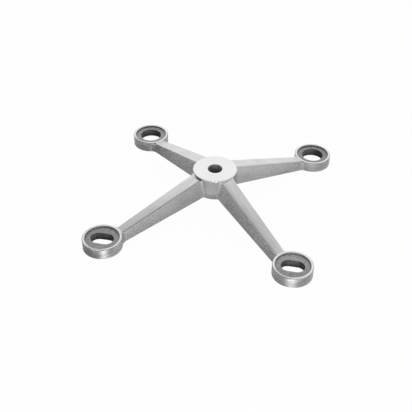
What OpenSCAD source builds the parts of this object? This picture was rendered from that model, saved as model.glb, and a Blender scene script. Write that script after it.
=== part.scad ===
// Four-armed glass spider fitting, cast in one piece from stainless steel.
// It carries the corners of four glass panes: a bolted glass fixing stands in
// each ring, and one large bolt through the hub holds the casting to the
// structure. The origin is at the centre of the plane that the four ring
// undersides stand on, under the hub, with +Z up along the hub's axis.

/* [Fixing pattern] */
// Distance between the axes of neighbouring rings, along X and along Y
fixing_pitch = 220; // [190:1:300]
// Height of the hub's face above the undersides of the rings
hub_rise = 49.6; // [40:0.2:70]

/* [Hub] */
// Diameter of the hub's flat face and of its upright wall
hub_d = 52.8; // [44:0.2:64]
// Height of the upright part of the hub's wall, under the face
hub_wall_h = 21; // [16:0.5:24]
// Height of the tapered foot under the upright wall
hub_foot_h = 7.5; // [4:0.5:10]
// Diameter of the hub's underside, at the end of the tapered foot
hub_foot_d = 49; // [40:0.2:52]
// Diameter of the bolt hole through the hub, clearance for an M16 bolt
hub_bore_d = 17.2; // [12:0.2:24]

/* [Rings] */
// Outer diameter of each ring
ring_d = 46.4; // [44:0.2:54]
// Height of each ring
ring_h = 13.4; // [10:0.2:18]
// Diameter of the recess in each ring's top, the seat of a 40 mm washer
recess_d = 40.2; // [36:0.2:42]
// Depth of the recess
recess_depth = 1.8; // [1:0.1:4]
// Diameter of the round adjusting holes in the two rings on the +Y side
round_hole_d = 27; // [18:0.2:30]
// Length along X of the slots in the two rings on the -Y side
slot_l = 27.2; // [22:0.2:32]
// Width along Y of those slots
slot_w = 18; // [12:0.2:20]
// Chamfer round the holes and slots on the undersides of the rings
hole_lead = 2; // [0.5:0.1:2.5]

/* [Arms] */
// Width of an arm's top face where it leaves the hub
arm_hub_w = 17.2; // [12:0.2:22]
// Width of an arm's top face where it meets the ring
arm_ring_w = 12.4; // [6:0.2:14]
// Step from the hub's face down to the arm's top face, at the hub's wall
arm_step = 2.5; // [1:0.1:6]
// Depth of an arm at the hub's wall
arm_hub_depth = 23.6; // [16:0.1:24]
// Height of an arm's underside above the ring's, where it meets the ring
arm_lift = 0.6; // [0.2:0.1:2]
// Lean of an arm's flanks, wider towards the underside, in degrees
arm_draft = 9; // [4:0.1:14]
// Radius on the two long upper edges of an arm
arm_edge_r = 1.5; // [0.5:0.1:3]

/* [Blends and edges] */
// Radius of the blend between an arm's flank and the hub
hub_blend_r = 4; // [2:0.5:6]
// Radius of the blend between an arm's flank and a ring
ring_blend_r = 8; // [3:0.5:9]
// Chamfer on the edges of the hub, the rings and their holes
edge = 0.5; // [0.3:0.1:0.8]

/* [Hidden] */
$fn = 96;

// Radii and levels
hub_r = hub_d / 2;
ring_r = ring_d / 2;
ring_reach = fixing_pitch / sqrt(2);
arm_end = ring_reach - ring_r;
arm_top_z = hub_rise - arm_step;
arm_foot_z = arm_top_z - arm_hub_depth;

// The arm's top face: its slope, its length down the slope and its taper
arm_run = arm_end - hub_r;
arm_slope = atan((arm_top_z - ring_h) / arm_run);
arm_len = arm_run / cos(arm_slope);
arm_taper = atan((arm_hub_w - arm_ring_w) / 2 / arm_len);

// Unit normal of an arm's flank on its +Y side
flank_n = [
    cos(arm_draft) * sin(arm_taper) * cos(arm_slope) + sin(arm_draft) * sin(arm_slope),
    cos(arm_draft) * cos(arm_taper),
    sin(arm_draft) * cos(arm_slope) - cos(arm_draft) * sin(arm_taper) * sin(arm_slope)
];
flank_start = [hub_r, arm_hub_w / 2, arm_top_z];
// How far a blend is sunk into the faces that it joins
sink = 0.1;
// Overshoot of a cutter past the face that it opens
over = 1;

// Outline of a turned body: radius r, from z = 0 to h, foot radius f up to foot_h
module turned(r, h, f, foot_h) {
    rotate_extrude()
        polygon([
            [0, 0], [f - edge, 0], [f, edge], [r, max(foot_h, edge)],
            [r, h - edge], [r - edge, h], [0, h]
        ]);
}

// Half section of a hole of half width r from z = 0 up to h, with a lead-in
// chamfer at its lower mouth and at its upper mouth
function hole_section(r, h, low, high) = [
    [0, -over], [r + low + over, -over], [r, low],
    [r, h - high], [r + high + over, h + over], [0, h + over]
];

// A cutter for a round hole
module round_cutter(d, h, low, high) {
    rotate_extrude()
        polygon(hole_section(d / 2, h, low, high));
}

// A cutter for a slot along X: two round ends and the straight part between
module slot_cutter(l, w, h, low, high) {
    half = hole_section(w / 2, h, low, high);
    for (x = [-1, 1])
        translate([x * (l - w) / 2, 0, 0])
            round_cutter(w, h, low, high);
    for (side = [0, 1])
        mirror([0, side, 0])
            rotate([90, 0, 90])
                linear_extrude(l - w, center = true)
                    polygon(half);
}

// Half of an arm's body: everything under the top face on the inner side of
// one flank, extruded along the upper edge, which is rounded in the section
module arm_half() {
    depth = 2 * arm_hub_depth;
    lean = depth * tan(arm_draft);
    bite = arm_edge_r * tan((90 - arm_draft) / 2);
    translate([hub_r, 0, arm_top_z])
        rotate([0, arm_slope, 0])
            translate([0, arm_hub_w / 2, 0])
                rotate([0, 0, -arm_taper])
                    rotate([90, 0, 90])
                        translate([0, 0, -hub_r])
                            linear_extrude(arm_len + 2 * hub_r)
                                union() {
                                    polygon([
                                        [-2 * arm_hub_w, 0], [-bite, 0],
                                        [bite * sin(arm_draft), -bite * cos(arm_draft)],
                                        [lean, -depth], [-2 * arm_hub_w, -depth]
                                    ]);
                                    translate([-bite, -arm_edge_r])
                                        circle(r = arm_edge_r);
                                }
}

// Side view of an arm, from inside the hub, where it is capped under the hub's
// face, to inside the ring; its top line lies above the arm's top face by raise
module arm_side(raise) {
    inner = hub_r / 2;
    outer = ring_reach - ring_r / 2;
    fall = tan(arm_slope);
    cap_x = max(inner, hub_r - arm_step / 2 / fall);
    cap_z = arm_top_z + (hub_r - cap_x) * fall + raise;
    foot_slope = (arm_foot_z - arm_lift) / arm_run;
    rotate([90, 0, 0])
        linear_extrude(4 * arm_hub_w, center = true)
            polygon([
                [inner, arm_foot_z + (hub_r - inner) * foot_slope],
                [arm_end, arm_lift],
                [outer, arm_lift],
                [outer, ring_h - (outer - arm_end) * fall + raise],
                [cap_x, cap_z],
                [inner, cap_z]
            ]);
}

// Centre of the ball that rolls between the flank and a wall of radius wall_r
// round the axis at x = axis_x, at height z; side is 1 outward, -1 inward
function ball(r, axis_x, wall_r, side, z) =
    let (
        m = norm([flank_n.x, flank_n.y]),
        q = r - sink + flank_n * flank_start - flank_n.z * z,
        h = (q - flank_n.x * axis_x) / m,
        g = sqrt(pow(wall_r + r - sink, 2) - h * h)
    )
    [axis_x + (h * flank_n.x + side * g * flank_n.y) / m,
     (h * flank_n.y - side * g * flank_n.x) / m, z];

// Blend between the arm's +Y flank and a round wall: a wedge with the ball's
// track taken out, extruded along that track
module blend(r, axis_x, wall_r, side, top) {
    low = ball(r, axis_x, wall_r, side, 0);
    high = ball(r, axis_x, wall_r, side, hub_rise);
    track = high - low;
    turn = atan2(track.y, track.x);
    tilt = atan2(norm([track.x, track.y]), track.z);
    to_wall = [axis_x - low.x, -low.y] / norm([axis_x - low.x, -low.y]);
    to_flank = -[flank_n.x, flank_n.y] / norm([flank_n.x, flank_n.y]);
    far = r + 2;
    translate(low)
        rotate([0, 0, turn])
            rotate([0, tilt, 0])
                rotate([0, 0, -turn])
                    translate([0, 0, -r])
                        linear_extrude(top + r)
                            difference() {
                                polygon([
                                    [0, 0], far * to_wall,
                                    far * (to_wall + to_flank), far * to_flank
                                ]);
                                circle(r = r);
                            }
}

// One arm along +X, with its blends into the hub and the ring
module arm() {
    intersection() {
        arm_half();
        mirror([0, 1, 0]) arm_half();
        arm_side(sink);
    }
    for (flip = [0, 1])
        mirror([0, flip, 0])
            intersection() {
                union() {
                    blend(hub_blend_r, 0, hub_r, 1, hub_rise);
                    blend(ring_blend_r, ring_reach, ring_r, -1, ring_h - edge);
                }
                arm_side(-sink);
            }
}

// The casting: hub, four arms and four rings, with every hole and recess
module spider_body() {
    hub_h = hub_wall_h + hub_foot_h;
    hub_foot_z = hub_rise - hub_h;
    web_h = ring_h - recess_depth;
    half = fixing_pitch / 2;
    color([0.78, 0.78, 0.78])
        difference() {
            union() {
                translate([0, 0, hub_foot_z])
                    turned(hub_r, hub_h, hub_foot_d / 2, hub_foot_h);
                for (a = [45:90:315])
                    rotate([0, 0, a]) {
                        arm();
                        translate([ring_reach, 0, 0])
                            turned(ring_r, ring_h, ring_r, edge);
                    }
            }
            translate([0, 0, hub_foot_z])
                round_cutter(hub_bore_d, hub_h, edge, edge);
            for (x = [-half, half]) {
                translate([x, half, 0])
                    round_cutter(round_hole_d, web_h, hole_lead, edge / 2);
                translate([x, -half, 0])
                    slot_cutter(slot_l, slot_w, web_h, hole_lead, edge / 2);
                for (y = [-half, half])
                    translate([x, y, web_h])
                        cylinder(h = recess_depth + over, d = recess_d);
            }
        }
}

spider_body();
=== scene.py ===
# Glass spider fitting: a stainless casting that carries the corners of four
# panes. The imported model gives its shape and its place, and this script gives
# it its finishes, the floor that it stands on, the lamps and the camera.
# Sizes are in metres, with X to the right, Y to the back and Z up.
import math

import bpy
from mathutils import Matrix, Vector


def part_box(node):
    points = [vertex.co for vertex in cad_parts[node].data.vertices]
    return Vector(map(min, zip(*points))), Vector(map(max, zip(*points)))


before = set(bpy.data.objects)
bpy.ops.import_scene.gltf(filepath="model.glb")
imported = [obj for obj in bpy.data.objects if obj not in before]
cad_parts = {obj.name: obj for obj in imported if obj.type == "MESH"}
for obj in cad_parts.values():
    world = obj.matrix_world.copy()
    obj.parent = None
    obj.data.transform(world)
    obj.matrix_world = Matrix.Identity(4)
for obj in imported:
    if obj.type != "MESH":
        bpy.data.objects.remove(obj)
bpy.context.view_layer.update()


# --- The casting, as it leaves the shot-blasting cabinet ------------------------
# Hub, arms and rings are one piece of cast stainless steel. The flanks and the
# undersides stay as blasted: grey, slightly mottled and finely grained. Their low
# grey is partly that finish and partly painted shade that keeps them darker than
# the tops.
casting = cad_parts["spider_body"]
steel = bpy.data.materials.new("cast_stainless")


def empty_tree(owner):
    owner.use_nodes = True
    owner.node_tree.nodes.clear()
    return owner.node_tree


tree = empty_tree(steel)


# Adds a node to the tree that is in hand.
def node(kind, **settings):
    made = tree.nodes.new(kind)
    for name, value in settings.items():
        setattr(made, name, value)
    return made


def plug(value, socket):
    if isinstance(value, bpy.types.NodeSocket):
        tree.links.new(value, socket)
    else:
        socket.default_value = value


def calc(operation, first, second=0.0, third=0.0):
    made = node("ShaderNodeMath", operation=operation)
    for value, socket in zip((first, second, third), made.inputs):
        plug(value, socket)
    return made.outputs[0]


def total(*values):
    result = values[0]
    for value in values[1:]:
        result = calc("ADD", result, value)
    return result


def times(*values):
    result = values[0]
    for value in values[1:]:
        result = calc("MULTIPLY", result, value)
    return result


def minus(first, second):
    return calc("SUBTRACT", first, second)


def absolute(value):
    return calc("ABSOLUTE", value)


# Eases from low to high while value goes from start to end, and stays there.
def ramp(value, start, end, low=0.0, high=1.0):
    made = node("ShaderNodeMapRange", interpolation_type="SMOOTHSTEP")
    for source, socket in zip((value, start, end, low, high), made.inputs):
        plug(source, socket)
    return made.outputs[0]


def blend(mask, under, over):
    made = node("ShaderNodeMix", data_type="FLOAT")
    plug(mask, made.inputs[0])
    plug(under, made.inputs[2])
    plug(over, made.inputs[3])
    return made.outputs[0]


# A factor that counts only where the mask is 1.
def where(mask, factor):
    return blend(mask, 1.0, factor)


def join(x, y, z):
    made = node("ShaderNodeCombineXYZ")
    for value, socket in zip((x, y, z), made.inputs):
        plug(value, socket)
    return made.outputs[0]


def part(vector):
    made = node("ShaderNodeSeparateXYZ")
    plug(vector, made.inputs[0])
    return made.outputs


def length(x, y):
    made = node("ShaderNodeVectorMath", operation="LENGTH")
    plug(join(x, y, 0.0), made.inputs[0])
    return made.outputs["Value"]


# Noise about zero, as far as swing to either side.
def grain(place, scale, detail, swing):
    made = node("ShaderNodeTexNoise")
    plug(place, made.inputs["Vector"])
    made.inputs["Scale"].default_value = scale
    made.inputs["Detail"].default_value = detail
    return times(minus(made.outputs["Fac"], 0.5), 2.0 * swing)


# The arms run along the diagonals. Their tops slope down from the hub.
DIAGONAL = 0.7071
ARM_SLOPE, ARM_PEAK = -0.318, 0.0555

place = node("ShaderNodeTexCoord").outputs["Object"]
x, y, z = part(place)
normal = part(node("ShaderNodeNewGeometry").outputs["Normal"])
up = normal[2]
upright = ramp(absolute(up), 0.6, 0.3)
along = times(total(absolute(x), absolute(y)), DIAGONAL)
hub_distance = length(x, y)
below_top = minus(calc("MULTIPLY_ADD", along, ARM_SLOPE, ARM_PEAK), z)

left_half, right_half = ramp(x, -0.005, -0.012), ramp(x, 0.005, 0.012)
front_half, rear_half = ramp(y, -0.005, -0.012), ramp(y, 0.005, 0.012)
front_left, front_right = times(front_half, left_half), times(front_half, right_half)
rear_left, rear_right = times(rear_half, left_half), times(rear_half, right_half)

BLASTED_AND_SHADED = 0.248
clouds = grain(place, 60.0, 3.0, 0.16)
coarse = times(
    ramp(along, 0.045, 0.090, 0.70, 1.0),
    ramp(normal[0], -0.5, 0.5, 1.15, 0.65),
    where(rear_left, ramp(along, 0.050, 0.100, 1.4, 1.7)),
    where(rear_right, ramp(along, 0.040, 0.090, 0.5, 1.3)))
pits = total(grain(place, 450.0, 2.0, 0.55), grain(place, 1000.0, 1.0, 0.80))
mottle = times(coarse, pits)
pores = grain(place, 2200.0, 2.0, 0.25)
cast_skin = total(1.0, clouds, mottle, pores)
# The flanks are lighter near the top of an arm and darker lower down.
fade = ramp(below_top, 0.0, 0.020, 1.14, 0.90)
# Painted light: flanks that face the front right are made 1.2 to 1.5 times lighter,
# as if lit from that side.
lighter = ramp(x, -0.01, 0.01, 1.20, 1.50)
painted_light_right_flanks = ramp(minus(normal[0], normal[1]), 0.5, 1.2, 1.0, lighter)
# Painted light and shade along the flanks: each arm is made lighter in some
# stretches and darker in others, by up to a fifth and by about a third at the rear
# left arm's end, and the rear right arm's flank is darkened just under its top edge.
shaded_upper_edge = ramp(along, 0.090, 0.120, 0.85, 0.92)
painted_light_along_flanks = times(
    where(front_left, times(
        ramp(along, 0.065, 0.122, 1.0, 0.87),
        ramp(along, 0.123, 0.130, 1.0, 1.10))),
    where(rear_left, times(
        ramp(along, 0.040, 0.130, 1.14, 0.80),
        ramp(along, 0.1285, 0.1310, 1.0, 0.86))),
    where(front_right, times(
        ramp(along, 0.050, 0.080, 1.08, 1.0),
        ramp(along, 0.110, 0.126, 1.0, 0.88))),
    where(rear_right, times(
        ramp(along, 0.040, 0.130, 1.12, 0.92),
        ramp(below_top, 0.0, 0.004, shaded_upper_edge, 1.0))))
tone = times(BLASTED_AND_SHADED, fade, painted_light_right_flanks, painted_light_along_flanks, cast_skin)
foot_gloss = times(upright, ramp(hub_distance, 0.0325, 0.0295, 0.0, 0.16))
gloss = total(0.52, times(mottle, 0.05), foot_gloss)
relief = times(total(mottle, pores), 0.35)
lay = join(0.0, 0.0, 1.0)
stretch = 0.0


# --- The ground faces of the arms -----------------------------------------------
# The sloping top faces are linished along each arm after blasting, and carry
# faint streaks along its length. They are the lightest part of an arm partly by
# that finish and partly by painted light, as if lit from above.
GROUND_AND_LIT = 0.67
ARM_TAPER, ARM_HALF_WIDTH = -0.02265, 0.0092


# Goes straight from low to high, without easing.
def line(value, start, end, low=0.0, high=1.0):
    made = node("ShaderNodeMapRange")
    for source, socket in zip((value, start, end, low, high), made.inputs):
        plug(source, socket)
    return made.outputs[0]


def blend_vectors(mask, under, over):
    made = node("ShaderNodeMix", data_type="VECTOR")
    plug(mask, made.inputs[0])
    plug(under, made.inputs[4])
    plug(over, made.inputs[5])
    return made.outputs[1]


right_side = calc("SIGN", x)
far_side = calc("SIGN", y)
across = times(minus(absolute(x), absolute(y)), DIAGONAL)
arm_number = total(right_side, times(far_side, 3.0))
streaks = grain(
    join(times(along, 40.0), times(across, 900.0), arm_number), 1.0, 3.0, 0.31)
half_width = calc("MULTIPLY_ADD", along, ARM_TAPER, ARM_HALF_WIDTH)

# The ridge is the rounded long edge of an arm that lies towards the front.
frontward = times(far_side, across)
from_ridge = minus(half_width, frontward)
before_ring = ramp(along, 0.1325, 0.1295)
ridge = times(before_ring, ramp(from_ridge, -0.0024, -0.0014))
beside_front_hub = times(ramp(along, 0.090, 0.040), ramp(from_ridge, 0.001, 0.004))
# Painted light and shade on the top faces: darker along the front ridges of three
# arms, lighter across the rest of some tops, lighter in some stretches along the
# arms and darker in others, and lighter on the front right arm beside the hub.
painted_light_on_tops = times(
    where(front_left, times(
        blend(ridge, 0.94, ramp(from_ridge, -0.0010, 0.0034, 0.50, 0.94)),
        line(from_ridge, 0.0034, 0.008, 1.05, 1.11),
        ramp(along, 0.03, 0.13, 1.14, 0.85))),
    where(front_right, times(
        where(ridge, ramp(from_ridge, -0.0010, 0.0020, 0.98, 1.0)),
        line(from_ridge, 0.0, 0.0085, 0.80, 0.99),
        ramp(along, 0.118, 0.128, 1.035, 1.11),
        where(beside_front_hub, 1.10))),
    where(rear_right, times(
        blend(ridge, 1.03, ramp(from_ridge, -0.0008, 0.0026, 0.60, 1.02)),
        ramp(along, 0.03, 0.08, 1.09, 1.025))),
    where(rear_left, 1.05))
top_face = ramp(up, 0.25, 0.60)
ground_skin = total(1.0, streaks, times(clouds, 0.5), times(mottle, 0.18))
along_arm = join(times(far_side, DIAGONAL), times(right_side, -DIAGONAL), 0.0)
tone = blend(top_face, tone, times(GROUND_AND_LIT, painted_light_on_tops, ground_skin))
gloss = blend(top_face, gloss, 0.40)
relief = blend(top_face, relief, streaks)
lay = blend_vectors(top_face, lay, along_arm)
stretch = blend(top_face, stretch, 0.4)

# --- The hub --------------------------------------------------------------------
# The wall stays as blasted, and its tone carries painted light and shade. The
# face is faced off on a lathe so that the washer of the hub's bolt sits flat, and
# it shows fine rings round the bore.
FACED = 0.872
HUB_RADIUS = 0.0264
FOOT_Z = 0.0292
hub_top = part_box("spider_body")[1].z
tool_marks = grain(join(hub_distance, 0.0, 0.0), 2200.0, 1.0, 0.03)
hub_edge = times(
    ramp(hub_distance, HUB_RADIUS + 0.0004, HUB_RADIUS + 0.0001),
    ramp(hub_distance, HUB_RADIUS - 0.0029, HUB_RADIUS - 0.0024))
hub_wall = times(hub_edge, ramp(up, 0.65, 0.50))

# Painted light and shade close to the hub: the blends beside the front left and
# rear right arms and the front right arm's flank and top are made lighter, and a
# painted shadow darkens the front left arm's top in the notch under the hub's rim.
painted_shadow_notch = times(
    front_left, top_face,
    ramp(hub_distance, 0.0292, 0.0276), ramp(frontward, -0.008, 0.004))
tone = times(
    tone,
    where(times(
        total(front_left, rear_right), upright,
        ramp(hub_distance, 0.0330, 0.0285)), 1.18),
    where(times(front_right, upright, ramp(hub_distance, 0.042, 0.028)), 1.45),
    where(times(
        front_right, upright,
        ramp(hub_distance, 0.0300, 0.0270), ramp(z, 0.044, 0.036)), 1.12),
    where(times(front_right, top_face, ramp(hub_distance, 0.036, 0.027)), 1.10),
    where(painted_shadow_notch, 0.25))

# Painted shadow on the hub's wall under its rim beside the front left arm, and
# painted light on the step under the rim beside the front right arm.
under_rim = ramp(z, hub_top - 0.0032, hub_top - 0.0026)
crevice_shadow = times(
    hub_wall, under_rim,
    ramp(x, -0.002, -0.014), ramp(y, 0.014, 0.0), ramp(frontward, 0.0092, 0.0080))
lit_step = times(front_right, under_rim, ramp(absolute(across), 0.0110, 0.0080))
hub_skin = total(1.0, clouds, times(mottle, 0.3), times(pores, 0.5))
foot_line = times(hub_wall, ramp(absolute(minus(z, FOOT_Z)), 0.0006, 0.0003))
# Painted light and shade on the hub's wall: lighter on the side that faces left and
# darker on the side that faces right, darker on the foot, and a painted highlight
# along the top edge.
tone = blend(hub_wall, tone, times(
    BLASTED_AND_SHADED, 1.30,
    ramp(normal[0], -0.3, 0.2, 1.08, 0.82),
    ramp(z, 0.026, 0.030, 0.86, 1.0),
    hub_skin,
    where(crevice_shadow, 0.22),
    where(lit_step, 1.42),
    ramp(z, hub_top - 0.0018, hub_top - 0.0010, 1.0, 1.45)))
tone = times(tone, where(foot_line, 0.78))
gloss = blend(hub_wall, gloss, 0.56)

hub_face = times(ramp(z, hub_top - 0.0010, hub_top - 0.0006), ramp(up, 0.50, 0.65))
# Painted shade: the hub face's edge is darker on the right side.
shaded_right_corner = times(
    ramp(hub_distance, HUB_RADIUS - 0.0008, HUB_RADIUS - 0.0003),
    ramp(x, 0.014, 0.024))
tone = blend(hub_face, tone, times(
    FACED, where(shaded_right_corner, 0.86), total(1.0, tool_marks)))
gloss = blend(hub_face, gloss, 0.30)
relief = blend(hub_face, relief, times(tool_marks, 0.5))
lay = blend_vectors(hub_face, lay, join(x, y, 0.0))
stretch = blend(hub_face, stretch, 0.3)

# --- The rings: walls and rims --------------------------------------------------
# Each ring is turned round its own axis after casting. The upright wall keeps
# fine level brush lines, and the rim round the recess is bright and smooth.
TURNED, RIM = 0.427, 0.775
RING_OFFSET = 0.110
RING_RADIUS = 0.0232
RING_TOP = 0.0134

# From the ring's own axis: mirrored from ring to ring, then to the right and back.
ring_x = minus(absolute(x), RING_OFFSET)
ring_y = minus(absolute(y), RING_OFFSET)
rightward, backward = times(ring_x, right_side), times(ring_y, far_side)
ring_distance = length(ring_x, ring_y)
ring_angle = calc("ARCTAN2", ring_y, ring_x)
ring_edge = ramp(ring_distance, RING_RADIUS - 0.0010, RING_RADIUS - 0.0007)
level_lines = grain(
    join(times(ring_angle, 2.0), times(z, 650.0), arm_number), 1.0, 3.0, 0.80)
wandering_z = total(times(z, 600.0), times(ring_angle, 12.0))
short_lines = grain(
    join(times(ring_angle, 8.0), wandering_z, arm_number), 1.0, 2.0, 0.42)
brush = times(where(rear_right, 0.45), total(level_lines, short_lines))

ring_wall = times(
    ramp(absolute(up), 0.90, 0.75),
    ramp(ring_distance, RING_RADIUS + 0.0005, RING_RADIUS + 0.0002),
    ring_edge)
# Painted light and shade on the rings' walls: the front left ring's left side is
# darker and its right side lighter, the rear right ring's wall is lighter to each
# side of its front, the walls are darker towards the bottom except where they face
# right, and the front of each wall, where the lamp's glint lies, is painted brighter
# towards the top.
wall_left = ramp(normal[0], 0.05, -0.35)
wall_mid = ramp(absolute(minus(normal[0], 0.15)), 0.5, 0.2)
wall_shade = times(
    where(times(front_left, wall_left), ramp(normal[0], -0.80, -0.95, 0.72, 0.60)),
    where(times(front_left, ramp(normal[0], 0.5, 0.8)), 1.14),
    where(rear_right, times(
        ramp(normal[0], 0.98, 0.75, 1.03, 1.13),
        ramp(normal[0], -0.02, -0.25, 1.0, 1.15))),
    where(wall_mid, ramp(z, 0.0075, 0.0110, 1.0, blend(rear_right, 1.20, 1.04))),
    where(
        ramp(normal[0], 0.3, -0.1),
        ramp(z, 0.001, 0.011, blend(rear_right, 0.80, 0.94), 1.02)))
wall_gloss = total(0.70, times(right_side, 0.03), times(rear_right, 0.15))
wall_skin = total(1.0, brush, times(clouds, 0.6))
tone = blend(ring_wall, tone, times(TURNED, wall_shade, wall_skin))
gloss = blend(ring_wall, gloss, wall_gloss)
relief = blend(ring_wall, relief, times(brush, 0.04))
stretch = blend(ring_wall, stretch, 0.95)

rim = times(
    ramp(ring_distance, RING_RADIUS + 0.0008, RING_RADIUS + 0.0004),
    ramp(z, RING_TOP - 0.0006, RING_TOP - 0.0003),
    ramp(up, 0.75, 0.90))
# Painted shade on the rims: darker on the side towards the front on every ring but
# the rear right one, and a little darker all round on the front left ring.
facing = total(
    times(rightward, blend(front_left, -0.5, -0.12)),
    times(backward, blend(front_left, -0.87, -0.99)))
shaded_rim_side = times(ramp(facing, 0.016, 0.022), minus(1.0, rear_right))
tone = blend(rim, tone, times(RIM, where(shaded_rim_side, 0.70), where(front_left, 0.93)))

# A painted highlight: on the rear arms the rim's brightness runs on over the
# blend at the end of the arm.
rear_seam_highlight = times(
    rear_half, ring_edge,
    ramp(z, 0.0100, 0.0122),
    ramp(along, 0.1290, 0.1320), ramp(along, 0.1365, 0.1350),
    ramp(up, -0.5, 0.2))
seam_highlight_tone = times(RIM, blend(rear_right, 0.85, 0.62))
tone = blend(rear_seam_highlight, tone, calc("MAXIMUM", tone, seam_highlight_tone))
gloss = blend(rim, gloss, 0.30)
lay = blend_vectors(rim, lay, join(rightward, backward, 0.0))
stretch = blend(rim, stretch, 0.3)

# --- The recesses ---------------------------------------------------------------
# The washers' seats are only milled down to size, so their floors stay dull,
# dark and grainy beside the bright rims. Painted shade makes them darkest in the
# corner by the wall, and the part of the recess wall that faces right is painted
# lighter.
SEAT = 0.392
RECESS_RADIUS = 0.0201
in_recess = ramp(ring_distance, RECESS_RADIUS + 0.0003, RECESS_RADIUS + 0.0002)
corner_shade = times(
    ramp(ring_distance, RECESS_RADIUS - 0.0014, RECESS_RADIUS - 0.0001, 1.0, 0.66),
    ramp(times(normal[0], upright), 0.5, 0.95, 1.0, 1.45))
seat_grain = total(grain(place, 260.0, 4.0, 0.40), grain(place, 900.0, 2.0, 0.35))
seat_shade = times(
    where(front_left, 0.95),
    where(front_right, ramp(backward, -0.018, 0.018, 0.92, 1.12)),
    where(rear_left, 1.06),
    where(rear_right, 0.96))
seat_skin = total(1.0, times(seat_grain, where(upright, 0.3)))
tone = blend(in_recess, tone, times(SEAT, corner_shade, seat_shade, seat_skin))
gloss = blend(in_recess, gloss, 0.6)
relief = blend(in_recess, relief, seat_grain)
stretch = blend(in_recess, stretch, 0.0)

# --- The holes ------------------------------------------------------------------
# The walls of the slots, of the round holes and of the hub's bore are as cast.
# Their dark tone is painted shade: darkest low down, lighter where a wall faces
# right, lighter in the right-hand rings' holes, and darkest deep in the bore.
SEAT_Z = 0.0116
BORE_RADIUS = 0.0086
in_hole = times(in_recess, ramp(z, SEAT_Z - 0.0001, SEAT_Z - 0.0004), upright)
in_bore = times(
    ramp(hub_distance, BORE_RADIUS + 0.0006, BORE_RADIUS + 0.0004),
    ramp(absolute(up), 0.90, 0.80))
hole = calc("MAXIMUM", in_hole, in_bore)
painted_hole_shade = times(
    ramp(z, 0.0005, 0.0095, 0.013, 0.122),
    ramp(normal[0], -0.7, 0.4, 0.25, 1.0),
    where(front_right, ramp(normal[0], 0.0, 0.6, 1.70, 0.85)),
    where(rear_right, 1.20))
painted_bore_shade = ramp(z, 0.036, 0.050, 0.08, 0.62)
hole_skin = total(1.0, times(seat_grain, 1.5))
tone = blend(hole, tone, times(blend(in_bore, painted_hole_shade, painted_bore_shade), hole_skin))
gloss = blend(hole, gloss, 0.6)

# --- The steel under all the finishes -------------------------------------------
# Bare stainless steel with no coat. The finishes above, with the painted light
# and shade among them, give its colour, its gloss and the direction of its sheen,
# and every sharp corner is broken a little.
BROKEN_EDGE = 0.0006
surface = node("ShaderNodeBsdfPrincipled")
plug(1.0, surface.inputs["Metallic"])
shade = node("ShaderNodeCombineColor")
for socket in shade.inputs:
    plug(tone, socket)
plug(shade.outputs[0], surface.inputs["Base Color"])
plug(gloss, surface.inputs["Roughness"])
soft_edge = node("ShaderNodeBevel", samples=6)
plug(BROKEN_EDGE, soft_edge.inputs["Radius"])
raised = node("ShaderNodeBump")
plug(0.20, raised.inputs["Strength"])
plug(0.0002, raised.inputs["Distance"])
plug(relief, raised.inputs["Height"])
plug(soft_edge.outputs[0], raised.inputs["Normal"])
plug(raised.outputs[0], surface.inputs["Normal"])
plug(stretch, surface.inputs["Anisotropic"])
plug(lay, surface.inputs["Tangent"])
plug(surface.outputs[0], node("ShaderNodeOutputMaterial").inputs["Surface"])
casting.data.materials[0] = steel

# --- The floor ------------------------------------------------------------------
# A white sheet that the fitting stands on with its rings. It keeps a faint
# shadow of the object, and it shows from above only.
HALF, LEVEL = 3.0, -0.0002
PAPER, GLOW = 0.85, 0.975
corners = [
    (-HALF, -HALF, LEVEL), (HALF, -HALF, LEVEL),
    (HALF, HALF, LEVEL), (-HALF, HALF, LEVEL)]
sheet = bpy.data.meshes.new("floor")
sheet.from_pydata(corners, [], [(0, 1, 2, 3)])
floor = bpy.data.objects.new("floor", sheet)
bpy.context.scene.collection.objects.link(floor)
white = bpy.data.materials.new("white_sheet")
tree = empty_tree(white)
ray = node("ShaderNodeLightPath").outputs
in_view = calc("MAXIMUM", ray["Is Camera Ray"], ray["Is Glossy Ray"])
in_view = calc("MAXIMUM", in_view, ray["Is Transmission Ray"])
paper = node("ShaderNodeBsdfDiffuse")
plug((PAPER, PAPER, PAPER, 1), paper.inputs["Color"])
glow = node("ShaderNodeEmission")
lit_paper = node("ShaderNodeMixShader")
plug(times(in_view, GLOW), lit_paper.inputs[0])
plug(paper.outputs[0], lit_paper.inputs[1])
plug(glow.outputs[0], lit_paper.inputs[2])
one_sided = node("ShaderNodeMixShader")
plug(node("ShaderNodeNewGeometry").outputs["Backfacing"], one_sided.inputs[0])
plug(lit_paper.outputs[0], one_sided.inputs[1])
plug(node("ShaderNodeBsdfTransparent").outputs[0], one_sided.inputs[2])
plug(one_sided.outputs[0], node("ShaderNodeOutputMaterial").inputs["Surface"])
sheet.materials.append(white)

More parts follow.
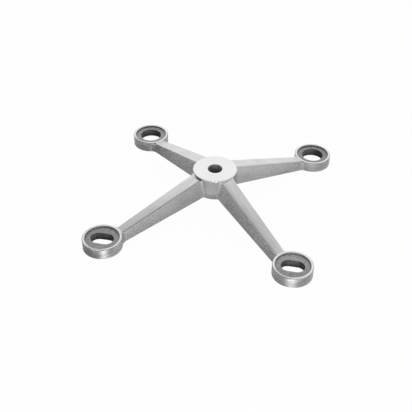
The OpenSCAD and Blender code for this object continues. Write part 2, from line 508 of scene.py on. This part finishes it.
# --- The studio -----------------------------------------------------------------
# White walls, duller in front, on the right and overhead. A lamp low in front
# puts the upright glint on the rings' walls, and a broad soft one stands on the
# right.
studio = bpy.data.worlds.new("studio")
bpy.context.scene.world = studio
tree = empty_tree(studio)
ray = node("ShaderNodeLightPath").outputs
in_view = calc("MAXIMUM", ray["Is Camera Ray"], ray["Is Transmission Ray"])
sky = part(node("ShaderNodeTexCoord").outputs["Generated"])
front_and_right = calc(
    "MAXIMUM", ramp(sky[1], 0.30, -0.05), ramp(sky[0], 0.40, 0.75))
above_floor = ramp(sky[2], 0.10, 0.30)
overhead = ramp(sky[2], 0.68, 0.92, 1.0, 0.70)
dimmed = times(overhead, where(times(front_and_right, above_floor), 0.50))
walls = node("ShaderNodeBackground")
plug((1, 1, 1, 1), walls.inputs["Color"])
plug(blend(in_view, dimmed, 1.0), walls.inputs["Strength"])
plug(walls.outputs[0], node("ShaderNodeOutputWorld").inputs["Surface"])

# The camera looks down this line. The front lamp stands under the camera, nearer.
YAW, PITCH_DOWN = math.radians(11.217), math.radians(38.587)
AIM, DISTANCE = Vector((-0.004929, -0.028571, 0.0134)), 0.945061
ahead = Vector((
    -math.sin(YAW) * math.cos(PITCH_DOWN),
    math.cos(YAW) * math.cos(PITCH_DOWN),
    -math.sin(PITCH_DOWN)))
eye = AIM - ahead * DISTANCE


def lamp(name, spot, width, tall, watts):
    data = bpy.data.lights.new(name, "AREA")
    data.shape = "RECTANGLE"
    data.size, data.size_y = width, tall
    data.energy = watts
    made = bpy.data.objects.new(name, data)
    made.location = spot
    aimed = Vector((0, 0, 0.02)) - Vector(spot)
    made.rotation_euler = aimed.to_track_quat("-Z", "Y").to_euler()
    bpy.context.scene.collection.objects.link(made)


lamp("front", (0.8 * eye.x, 0.8 * eye.y, 0.035), 0.30, 0.05, watts=2.45)
lamp("right", (1.75, 0.2, 0.67), 4.5, 1.3, watts=8.5)

# --- The camera -----------------------------------------------------------------
# A long lens that looks down on the fitting from the front, a little from the
# right.
ROLL = math.radians(0.655)
level = Vector((math.cos(YAW), math.sin(YAW), 0.0))
above = level.cross(ahead)
rightwards = math.cos(ROLL) * level + math.sin(ROLL) * above
upwards = math.cos(ROLL) * above - math.sin(ROLL) * level
turned = Matrix((rightwards, upwards, -ahead)).transposed().to_4x4()
turned.translation = eye
lens = bpy.data.cameras.new("camera")
lens.sensor_width = 36.0
lens.lens = 68.449
camera = bpy.data.objects.new("camera", lens)
bpy.context.scene.collection.objects.link(camera)
camera.matrix_world = turned
bpy.context.scene.camera = camera
bpy.context.scene.view_settings.view_transform = "Standard"
